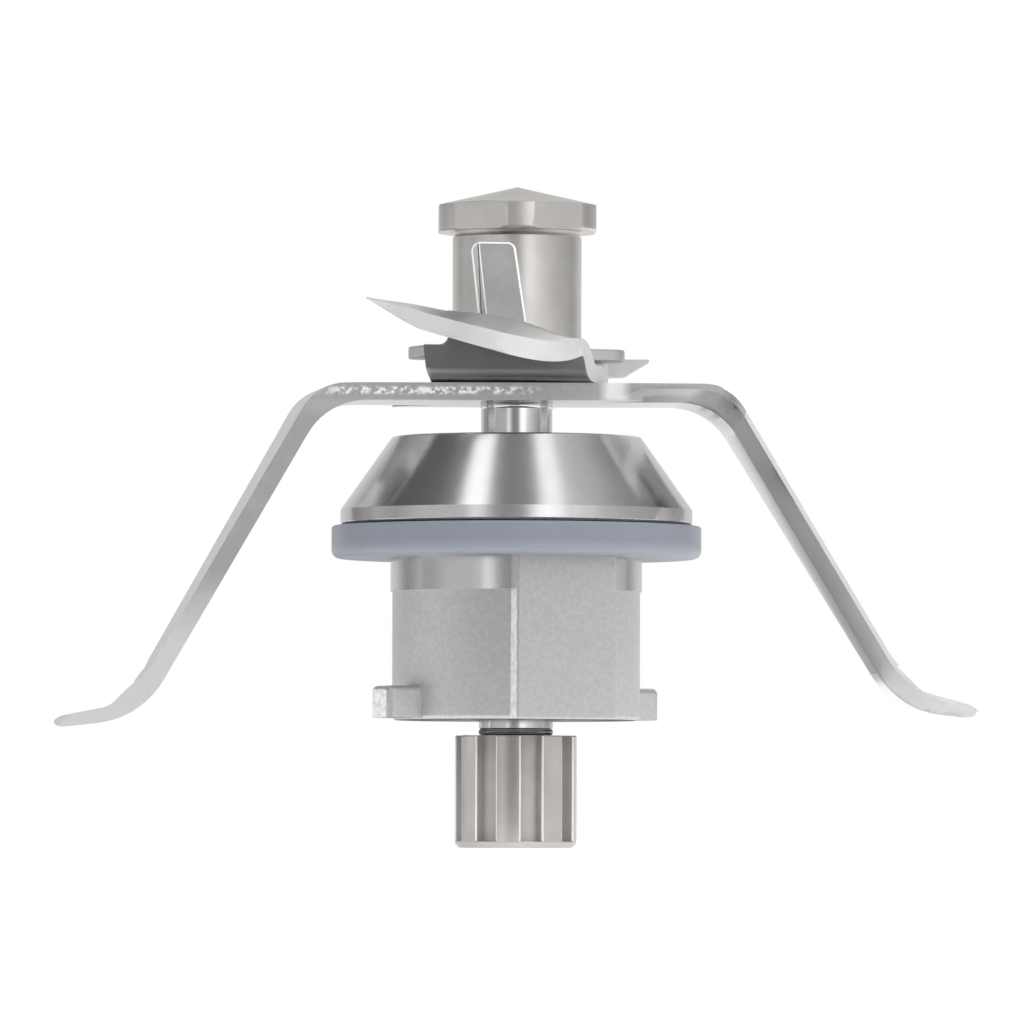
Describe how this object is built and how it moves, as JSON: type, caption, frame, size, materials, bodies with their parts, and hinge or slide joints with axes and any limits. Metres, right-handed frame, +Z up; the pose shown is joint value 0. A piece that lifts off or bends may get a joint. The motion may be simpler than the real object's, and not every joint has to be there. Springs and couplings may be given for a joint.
{
  "type": "blender blade assembly",
  "caption": "Removable mixing knife for a heated blender bowl: bent steel blades on a shaft in a sealed ball-bearing housing with a splined drive coupling.",
  "frame": {"origin": "on the shaft axis at the lower face of the drive coupling", "axes": "+Z up along the shaft towards the cap nut; X along the long blade; -Y is the front, where the upper blade's raised wing is"},
  "size_m": [0.1248, 0.05, 0.0894],
  "materials": {
    "cast_steel": "stainless casting, fine matte skin, turned and polished neck, lip and cone",
    "blade_steel": "stainless sheet, satin faces and ground edges",
    "turned_steel": "turned stainless steel, polished",
    "nut_steel": "turned stainless steel, satin",
    "spring_steel": "spring steel, plain",
    "bearing_steel": "ground bearing steel",
    "cage_plastic": "natural polyamide",
    "silicone": "blue-grey translucent silicone",
    "seal_rubber": "black elastomer"
  },
  "bodies": {
    "housing": {"bearing_housing": "cast_steel", "bowl_seal": "silicone", "shaft_seal": "seal_rubber", "seal_spring": "spring_steel", "distance_tube": "turned_steel", "housing_circlip": "spring_steel", "lower_bearing_outer_ring": "bearing_steel", "lower_bearing_shields": "bearing_steel", "upper_bearing_outer_ring": "bearing_steel", "upper_bearing_shields": "bearing_steel"},
    "rotor": {"shaft": "turned_steel", "snap_ring": "spring_steel", "drive_coupling": "turned_steel", "coupling_pin": "turned_steel", "lower_blade": "blade_steel", "upper_blade": "blade_steel", "blade_washer": "turned_steel", "paddle_plate": "blade_steel", "cap_nut": "nut_steel", "lower_bearing_inner_ring": "bearing_steel", "upper_bearing_inner_ring": "bearing_steel"},
    "lower_ball_train": {"lower_bearing_balls": "bearing_steel", "lower_bearing_cage": "cage_plastic"},
    "upper_ball_train": {"upper_bearing_balls": "bearing_steel", "upper_bearing_cage": "cage_plastic"}
  },
  "joints": [
    {"name": "blade_spin", "type": "hinge", "parent": "housing", "child": "rotor", "pos_m": [0, 0, 0.0315], "axis": [0, 0, 1], "continuous": true},
    {"name": "lower_balls_orbit", "type": "hinge", "parent": "housing", "child": "lower_ball_train", "pos_m": [0, 0, 0.0235], "axis": [0, 0, 1], "continuous": true},
    {"name": "upper_balls_orbit", "type": "hinge", "parent": "housing", "child": "upper_ball_train", "pos_m": [0, 0, 0.0395], "axis": [0, 0, 1], "continuous": true}
  ],
  "couplings": [
    {"joint": "lower_balls_orbit", "follows": "blade_spin", "ratio": 0.3677},
    {"joint": "upper_balls_orbit", "follows": "blade_spin", "ratio": 0.3677}
  ]
}
